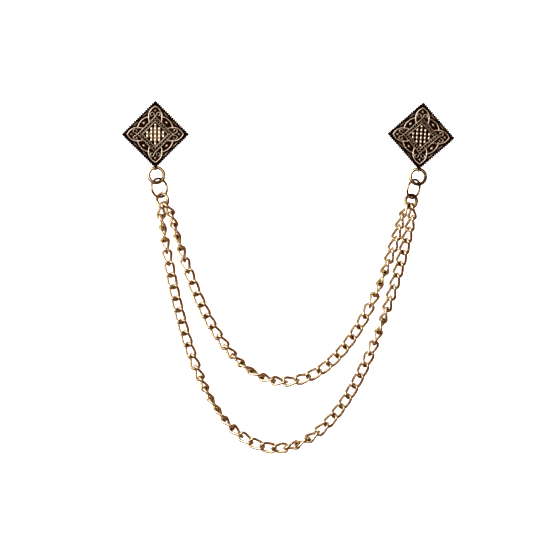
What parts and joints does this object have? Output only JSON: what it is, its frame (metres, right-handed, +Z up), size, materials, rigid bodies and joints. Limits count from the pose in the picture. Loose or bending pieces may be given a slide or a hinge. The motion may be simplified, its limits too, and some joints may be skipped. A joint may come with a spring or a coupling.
{
  "type": "lapel chain",
  "caption": "Square cast pin brooches set on a corner, joined through jump rings by a short and a long hanging strand of twisted curb chain.",
  "frame": {"origin": "where the left brooch's pin post leaves the back face of its plate", "axes": "+X to the right seen from the front, +Z up, the brooches face -Y and the pin posts point along +Y"},
  "size_m": [0.1249, 0.0111, 0.1324],
  "materials": {
    "brooch": "antique gold plated casting, dark patina in the recesses, worn bright on the relief",
    "clutch": "gold plated, satin",
    "ring": "antique gold plated wire, polished, darkened in places",
    "chain": "pale antique gold plated wire, polished"
  },
  "bodies": {
    "root": {"left_brooch": "brooch", "right_brooch": "brooch", "left_clutch": "clutch", "right_clutch": "clutch", "left_top_ring": "ring", "right_top_ring": "ring", "left_lower_ring": "ring", "right_lower_ring": "ring", "left_joining_ring": "ring", "right_joining_ring": "ring", "inner_chain": "chain", "outer_chain": "chain"}
  },
  "joints": []
}
